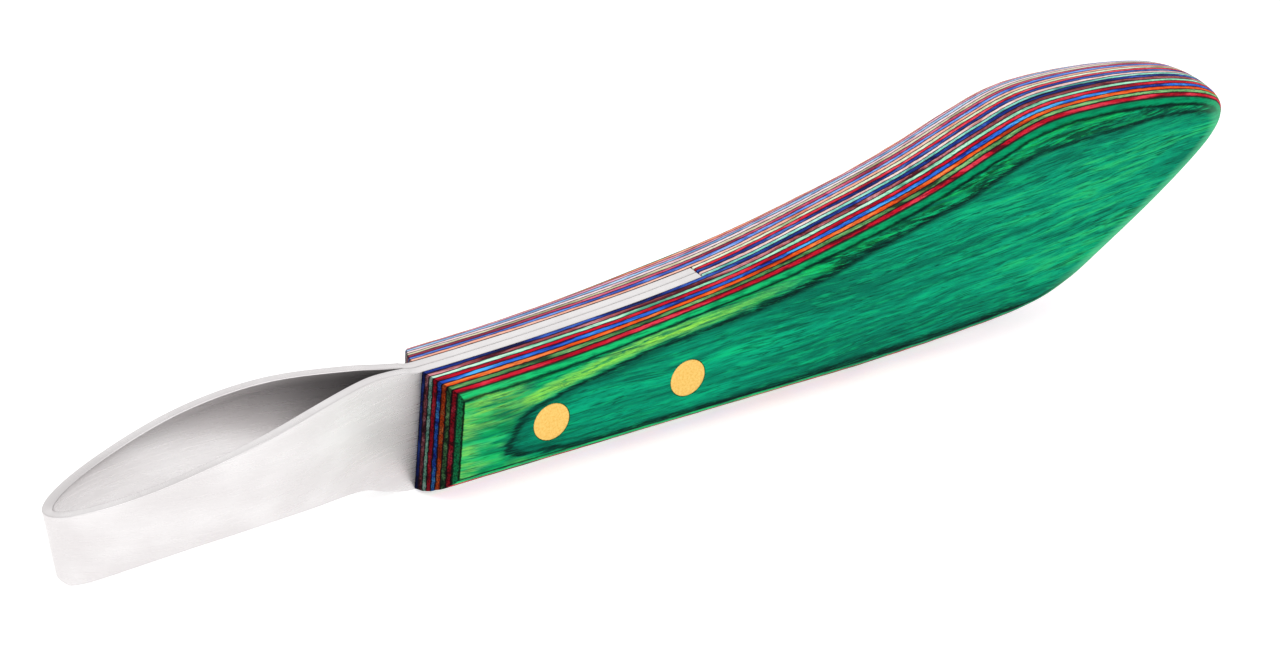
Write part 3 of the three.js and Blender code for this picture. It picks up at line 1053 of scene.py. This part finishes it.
def rounded_edge(n, f, colour):
    """The rounded edge, and the dark line just before the flat face starts.

    The butt's slanted edge has no dark line, and a paler painted sheen instead.
    """
    uneven = n.math("ADD", n.attribute("inset"), n.swing(f.ragged, 0.5))
    edge = n.mix(n.smooth(f.x, 0.0, 0.05), GREENS["front edge"], GREENS["rear edge"])
    edge = n.mix(n.smooth(f.fibre, 0.42, 0.62, 0, 0.7), edge, GREENS["edge fibre"])
    colour = n.mix(n.times(n.smooth(uneven, EDGE_LINE, -0.50), 0.9), colour, edge)
    slant = n.math("SUBTRACT", n.times(f.x, 0.55), f.z)
    butt = n.times(n.smooth(f.x, 0.066, 0.078), n.smooth(slant, 0.018, 0.026))
    line = n.smooth(n.away(uneven, EDGE_LINE), 0.02, 0.26, 0.92, 0.0)
    colour = n.mix(n.times(line, n.math("SUBTRACT", 1.0, butt)), colour, GREENS["black"])
    # Painted sheen: the butt's slanted edge is painted paler, in place of the light its rounding
    # reflects.
    butt_sheen = n.times(n.smooth(uneven, 1.3, -0.4, 0.0, 0.5), butt)
    return n.mix(butt_sheen, colour, GREENS["butt_sheen"])


def face_wood(index):
    """The outer green plies: flat-sawn figure on the face, brighter where the edge is rounded."""
    n = Nodes(PLY_NODES[index])
    f = Figure(n, -1 if index == 0 else 1)
    colour = n.mix(n.smooth(f.heart_at, 0.90, 1.04), pale_zone(n, f), heart_wood(n, f))
    colour = shore_lines(n, f, colour)
    colour = grain_lines(n, f, colour)
    colour = rounded_edge(n, f, colour)
    colour = n.mix(n.smooth(n.attribute("across"), 0.05, 0.15, 0.9, 0.0), colour, GLUE)
    n.join(darker_front_end(n, colour), n.shader.inputs["Base Color"])
    finish(n, f.fibre, f.pores)
    return n.material


def steel():
    """Satin stainless strip, brushed along its length, with shade and dark reflection painted into
    the throat.
    """
    n = Nodes("satin_steel")
    brushed = n.noise(5, 0.7, (90, 160, 5200))
    soft = n.noise(3, 0.5, (60, 120, 120), (3, 0, 0))
    colour = n.mix(n.smooth(soft, 0.35, 0.7), linear(216, 212, 212), linear(228, 225, 225))
    colour = n.mix(n.smooth(brushed, 0.3, 0.7, 0, 0.08), colour, linear(186, 184, 186))
    # Painted shade: the throat's inner faces are painted dark, standing in for shade and dark
    # reflection.
    throat_shade = n.math("ADD", n.attribute("throat"), n.swing(soft, 0.3))
    colour = n.mix(n.smooth(throat_shade, 0.0, 1.0, 0.0, 0.72), colour, linear(92, 89, 90))
    n.join(colour, n.shader.inputs["Base Color"])
    n.shader.inputs["Metallic"].default_value = 0.86
    n.join(n.smooth(brushed, 0.25, 0.75, 0.24, 0.36), n.shader.inputs["Roughness"])
    n.bump(brushed, 0.000005, 0.14)
    return n.material


def brass():
    """Brass sanded flush: warm, matt and faintly mottled by the abrasive."""
    n = Nodes("brass")
    mottle = n.noise(6, 0.7, (2600, 2600, 2600))
    scratch = n.noise(4, 0.6, (500, 3000, 7000))
    colour = n.mix(n.smooth(mottle, 0.30, 0.72), linear(228, 176, 84), linear(248, 208, 124))
    n.join(colour, n.shader.inputs["Base Color"])
    n.shader.inputs["Metallic"].default_value = 1.0
    n.join(n.smooth(mottle, 0.3, 0.7, 0.36, 0.5), n.shader.inputs["Roughness"])
    n.bump(n.math("ADD", scratch, mottle), 0.000008, 0.3)
    return n.material


def floor_material():
    """Pale paper that glows a little, so that shadows on it stay soft and hardly tinted."""
    n = Nodes("floor_paper")
    grain = n.noise(3, 0.5, (900, 900, 900))
    n.join(n.mix(grain, (0.68, 0.68, 0.68), (0.71, 0.71, 0.71)), n.shader.inputs["Base Color"])
    n.shader.inputs["Roughness"].default_value = 0.8
    n.shader.inputs["Emission Color"].default_value = (1, 1, 1, 1)
    n.shader.inputs["Emission Strength"].default_value = 0.58
    return n.material


# ---- Build --------------------------------------------------------------------------------


def dress(obj, material, nodes):
    """Give a piece its material, and let it stand for its CAD nodes."""
    obj.data.materials.clear()
    obj.data.materials.append(material)
    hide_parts(*nodes)
    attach(obj, "root")


for ply, node in enumerate(PLY_NODES):
    material = face_wood(ply) if ply in OUTER_PLIES else wood(ply)
    dress(veneer(ply), material, [node])

dress(loop_blade(), steel(), ["loop_blade"])

brass_material = brass()
for node, centre in zip(PINS, PIN_CENTRES):
    name = node.replace("brass_pin", "pin")
    pin = round_bar(name, centre, PIN_RADIUS, HALF_THICKNESS - PIN_CROWN, PIN_CHAMFER)
    dress(pin, brass_material, [node])


# ---- Studio -------------------------------------------------------------------------------

CAMERA_AZIMUTH = -34.08           # degrees about Z from looking along +Y
CAMERA_ELEVATION = 29.31
CAMERA_ROLL = 2.68
CAMERA_DISTANCE = 0.52757
CAMERA_LENS = 95.6
AIM = Vector((-0.0068, 0, 0.01666))
LIGHT_AIM = Vector((0, 0, 0.02))
FLOOR_HALF = 3.0
FLOOR_DROP = 0.0001
SKY_STRENGTH = 0.88


def turned(azimuth, elevation, roll):
    """The axes of something that looks from an azimuth and elevation towards the knife."""
    a, e, r = (math.radians(v) for v in (azimuth, elevation, roll))
    back = Vector((math.sin(a) * math.cos(e), -math.cos(a) * math.cos(e), math.sin(e)))
    right = Vector((math.cos(a), math.sin(a), 0))
    up = back.cross(right)
    tilted = right * math.cos(r) + up * math.sin(r)
    return tilted, back.cross(tilted), back


def place(obj, azimuth, elevation, distance, aim, roll=0.0):
    right, up, back = turned(azimuth, elevation, roll)
    axes = Matrix((right, up, back)).transposed().to_4x4()
    obj.matrix_world = Matrix.Translation(aim + back * distance) @ axes


def camera():
    data = bpy.data.cameras.new("camera")
    data.lens = CAMERA_LENS
    data.sensor_width = 36
    data.clip_start = 0.01
    obj = bpy.data.objects.new("camera", data)
    bpy.context.scene.collection.objects.link(obj)
    place(obj, CAMERA_AZIMUTH, CAMERA_ELEVATION, CAMERA_DISTANCE, AIM, CAMERA_ROLL)
    bpy.context.scene.camera = obj


def softbox(name, azimuth, elevation, distance, size, watts):
    data = bpy.data.lights.new(name, "AREA")
    data.shape = "RECTANGLE"
    data.size, data.size_y = size
    data.energy = watts
    obj = bpy.data.objects.new(name, data)
    bpy.context.scene.collection.objects.link(obj)
    place(obj, azimuth, elevation, distance, LIGHT_AIM)


def floor():
    half = FLOOR_HALF
    mesh = bpy.data.meshes.new("floor")
    corners = [(-half, -half, 0), (half, -half, 0), (half, half, 0), (-half, half, 0)]
    mesh.from_pydata(corners, [], [(0, 1, 2, 3)])
    obj = bpy.data.objects.new("floor", mesh)
    bpy.context.scene.collection.objects.link(obj)
    obj.location.z = -FLOOR_DROP
    obj.data.materials.append(floor_material())


def world():
    scene_world = bpy.data.worlds.new("studio")
    scene_world.use_nodes = True
    back = scene_world.node_tree.nodes["Background"]
    back.inputs["Color"].default_value = (1, 1, 1, 1)
    back.inputs["Strength"].default_value = SKY_STRENGTH
    bpy.context.scene.world = scene_world


camera()
floor()
world()
softbox("key", azimuth=-25, elevation=50, distance=0.9, size=(0.9, 0.9), watts=2.2)
softbox("back", azimuth=146, elevation=34, distance=1.0, size=(1.2, 0.6), watts=0.6)
bpy.context.scene.view_settings.view_transform = "Standard"
